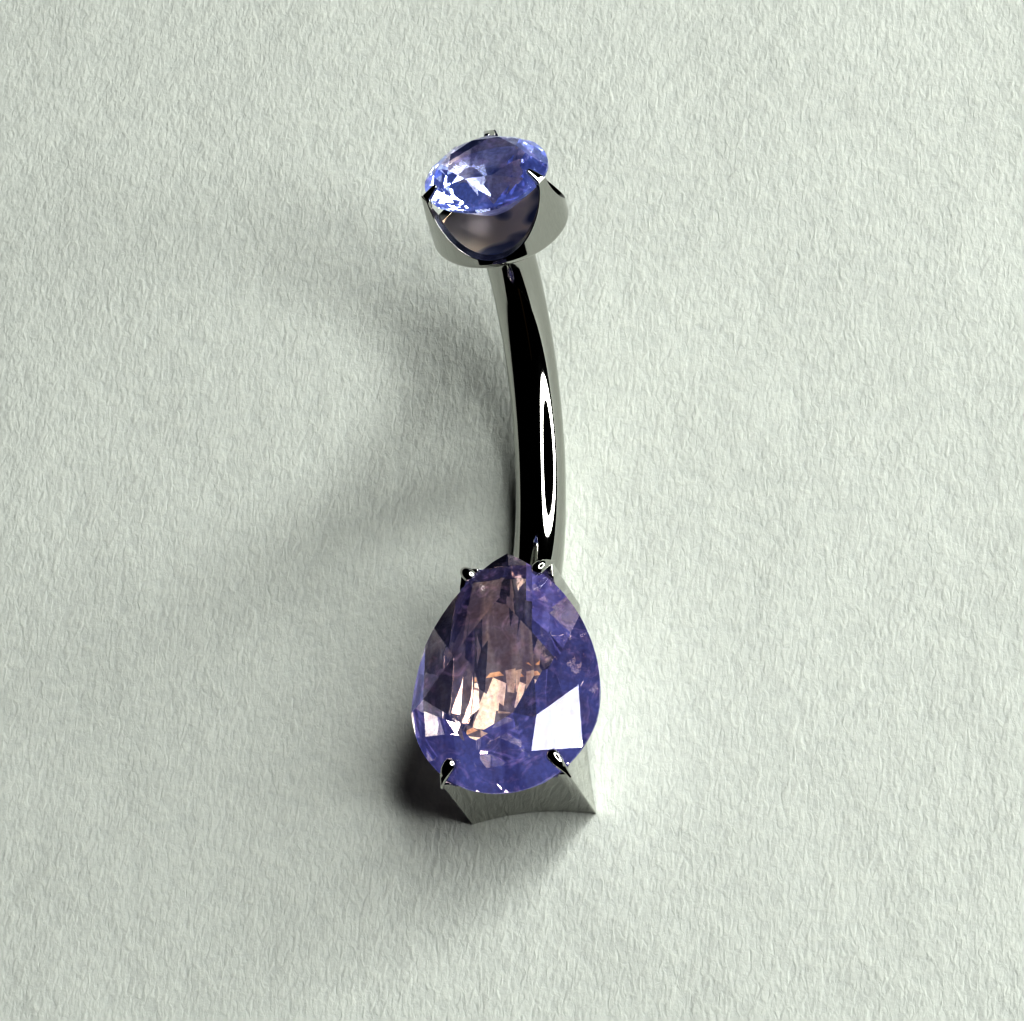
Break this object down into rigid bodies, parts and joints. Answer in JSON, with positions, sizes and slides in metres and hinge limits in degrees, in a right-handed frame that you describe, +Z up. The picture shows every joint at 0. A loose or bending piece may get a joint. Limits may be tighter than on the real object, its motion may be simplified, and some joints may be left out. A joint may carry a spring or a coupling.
{
  "type": "navel ring",
  "caption": "Curved barbell navel ring, lying down: pear-cut stone in an open claw basket at one end, small round stone in a claw cup at the other.",
  "frame": {"origin": "centre of the bounding box's underside: the level of the surface that the ring lies on, halfway along it", "axes": "+Z up from the surface; +Y along the bar, from the pear stone's basket to the round stone's cup; +X across, to the right when seen from the pear stone's end"},
  "size_m": [0.006, 0.0216, 0.0098],
  "materials": {
    "bar_metal": "mirror-polished titanium",
    "pear_opalite": "faceted milky opal glass, blue-violet with orange where light passes through",
    "cup_metal": "mirror-polished titanium",
    "round_opalite": "faceted milky opal glass, periwinkle blue with orange where light passes through"
  },
  "bodies": {
    "root": {"curved_bar": "bar_metal", "pear_stone": "pear_opalite", "round_setting": "cup_metal", "round_stone": "round_opalite"}
  },
  "joints": []
}
